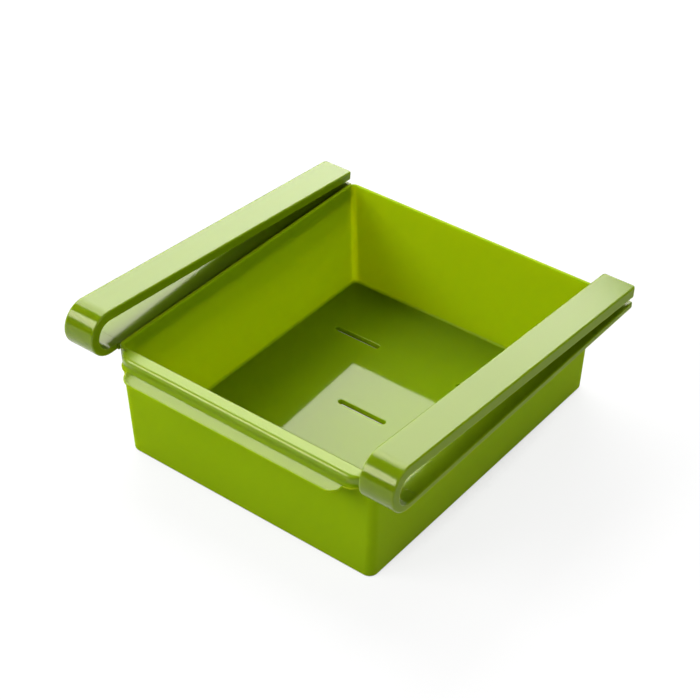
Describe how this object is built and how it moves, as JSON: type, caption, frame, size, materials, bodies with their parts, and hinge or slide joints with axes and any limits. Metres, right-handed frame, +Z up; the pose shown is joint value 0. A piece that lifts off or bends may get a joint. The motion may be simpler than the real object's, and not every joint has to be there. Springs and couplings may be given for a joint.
{
  "type": "fridge drawer organizer",
  "caption": "Open plastic tub that slides out of two hairpin clip rails, which grip the front edge of a fridge shelf and hang the tub under it.",
  "frame": {"origin": "middle of the whole footprint, on the surface that the tub stands on", "axes": "+X to the drawer's right seen from its front, +Y to the back of the shelf, +Z up"},
  "size_m": [0.166, 0.1684, 0.071],
  "materials": {
    "green_plastic": "glossy moulded polypropylene, lime green"
  },
  "bodies": {
    "left_rail": {"left_rail": "green_plastic"},
    "left_clip_arm": {"left_clip_arm": "green_plastic"},
    "drawer": {"drawer_tub": "green_plastic"},
    "right_rail": {"right_rail": "green_plastic"},
    "right_clip_arm": {"right_clip_arm": "green_plastic"}
  },
  "joints": [
    {"name": "drawer_slide", "type": "slide", "parent": "left_rail", "child": "drawer", "axis": [0, -1, 0], "range_m": [0, 0.105]},
    {"name": "right_rail_slide", "type": "slide", "parent": "drawer", "child": "right_rail", "axis": [0, 1, 0], "range_m": [0, 0.105]},
    {"name": "left_clip_flex", "type": "hinge", "parent": "left_rail", "child": "left_clip_arm", "pos_m": [-0.0751, -0.08415, 0.0606], "axis": [1, 0, 0], "range_deg": [0, 4], "stiffness_Nm_per_rad": 2.2},
    {"name": "right_clip_flex", "type": "hinge", "parent": "right_rail", "child": "right_clip_arm", "pos_m": [0.0751, -0.08415, 0.0606], "axis": [1, 0, 0], "range_deg": [0, 4], "stiffness_Nm_per_rad": 2.2}
  ],
  "couplings": [
    {"joint": "right_rail_slide", "follows": "drawer_slide", "ratio": 1}
  ]
}
